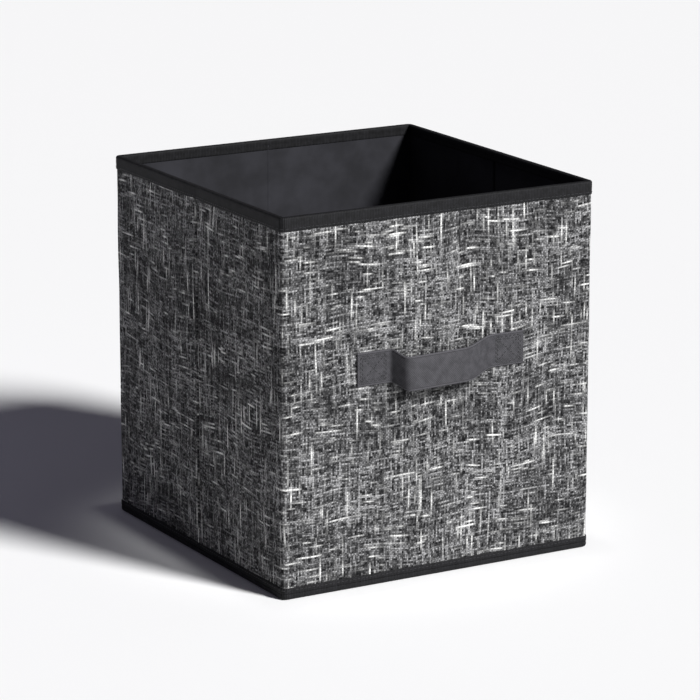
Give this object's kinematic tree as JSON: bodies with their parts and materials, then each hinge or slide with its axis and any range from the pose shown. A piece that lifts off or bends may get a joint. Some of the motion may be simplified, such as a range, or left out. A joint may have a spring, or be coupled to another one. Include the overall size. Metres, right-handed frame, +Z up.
{
  "type": "fabric storage bin",
  "caption": "Square open-topped storage bin of linen-look cloth over stiff boards, with strap handles, a lift-out base and creased sides that fold flat.",
  "frame": {"origin": "centre of the base, on the surface that the bin stands on", "axes": "+Z up; the front wall with a strap handle faces -Y; +X is the bin's right seen from the front"},
  "size_m": [0.2618, 0.293, 0.28],
  "materials": {
    "linen_cloth": "matte black and white linen-look weave with long slubs",
    "lining_cloth": "matte black non-woven",
    "binding_tape": "black ribbed binding tape",
    "strap_webbing": "dark grey woven polypropylene webbing",
    "wall_board": "uncoated grey board, hidden inside the walls",
    "insert_board": "uncoated grey board, hidden inside its sleeve"
  },
  "bodies": {
    "front_wall": {"front_board": "wall_board", "front_cover": "linen_cloth", "front_lining": "lining_cloth", "front_rim_tape": "binding_tape", "front_left_corner_cloth": "linen_cloth", "front_right_corner_cloth": "linen_cloth", "front_handle_left_end": "strap_webbing", "front_handle_right_end": "strap_webbing", "base_cloth": "lining_cloth", "base_hem": "binding_tape"},
    "left_front_panel": {"left_front_board": "wall_board", "left_front_cover": "linen_cloth", "left_front_lining": "lining_cloth", "left_front_rim_tape": "binding_tape", "left_crease_cloth": "linen_cloth", "left_crease_lining": "lining_cloth"},
    "left_rear_panel": {"left_rear_board": "wall_board", "left_rear_cover": "linen_cloth", "left_rear_lining": "lining_cloth", "left_rear_rim_tape": "binding_tape"},
    "right_front_panel": {"right_front_board": "wall_board", "right_front_cover": "linen_cloth", "right_front_lining": "lining_cloth", "right_front_rim_tape": "binding_tape", "right_crease_cloth": "linen_cloth", "right_crease_lining": "lining_cloth"},
    "right_rear_panel": {"right_rear_board": "wall_board", "right_rear_cover": "linen_cloth", "right_rear_lining": "lining_cloth", "right_rear_rim_tape": "binding_tape"},
    "back_wall": {"back_board": "wall_board", "back_cover": "linen_cloth", "back_lining": "lining_cloth", "back_rim_tape": "binding_tape", "back_left_corner_cloth": "linen_cloth", "back_right_corner_cloth": "linen_cloth", "back_handle_left_end": "strap_webbing", "back_handle_right_end": "strap_webbing"},
    "front_handle": {"front_handle_grip": "strap_webbing"},
    "back_handle": {"back_handle_grip": "strap_webbing"},
    "base_insert": {"insert_board": "insert_board", "insert_top_cloth": "lining_cloth", "insert_underside_cloth": "lining_cloth"}
  },
  "joints": [
    {"name": "fold", "type": "hinge", "parent": "front_wall", "child": "left_front_panel", "pos_m": [-0.12625, -0.12625, 0], "axis": [0, 0, -1], "range_deg": [0, 88], "deforming": ["front_left_corner_cloth", "base_cloth", "base_hem"]},
    {"name": "left_crease", "type": "hinge", "parent": "left_front_panel", "child": "left_rear_panel", "pos_m": [-0.13065, 0, 0], "axis": [0, 0, 1], "range_deg": [0, 176], "deforming": ["left_crease_cloth", "left_crease_lining"]},
    {"name": "left_rear_corner", "type": "hinge", "parent": "left_rear_panel", "child": "back_wall", "pos_m": [-0.12625, 0.12625, 0], "axis": [0, 0, -1], "range_deg": [0, 88], "deforming": ["back_left_corner_cloth", "back_right_corner_cloth"]},
    {"name": "right_front_corner", "type": "hinge", "parent": "front_wall", "child": "right_front_panel", "pos_m": [0.12625, -0.12625, 0], "axis": [0, 0, 1], "range_deg": [0, 88], "deforming": ["front_right_corner_cloth"]},
    {"name": "right_crease", "type": "hinge", "parent": "right_front_panel", "child": "right_rear_panel", "pos_m": [0.13065, 0, 0], "axis": [0, 0, -1], "range_deg": [0, 176], "deforming": ["right_crease_cloth", "right_crease_lining"]},
    {"name": "insert_lift", "type": "slide", "parent": "front_wall", "child": "base_insert", "axis": [0, 0, 1], "range_m": [0, 0.3]},
    {"name": "front_handle_swing", "type": "hinge", "parent": "front_wall", "child": "front_handle", "pos_m": [0, -0.13, 0.163], "axis": [1, 0, 0], "range_deg": [-25, 25], "stiffness_Nm_per_rad": 0.03, "deforming": ["front_handle_left_end", "front_handle_right_end"]},
    {"name": "back_handle_swing", "type": "hinge", "parent": "back_wall", "child": "back_handle", "pos_m": [0, 0.13, 0.163], "axis": [-1, 0, 0], "range_deg": [-25, 25], "stiffness_Nm_per_rad": 0.03, "deforming": ["back_handle_left_end", "back_handle_right_end"]}
  ],
  "couplings": [
    {"joint": "left_crease", "follows": "fold", "ratio": 2},
    {"joint": "left_rear_corner", "follows": "fold", "ratio": 1},
    {"joint": "right_front_corner", "follows": "fold", "ratio": 1},
    {"joint": "right_crease", "follows": "fold", "ratio": 2}
  ]
}
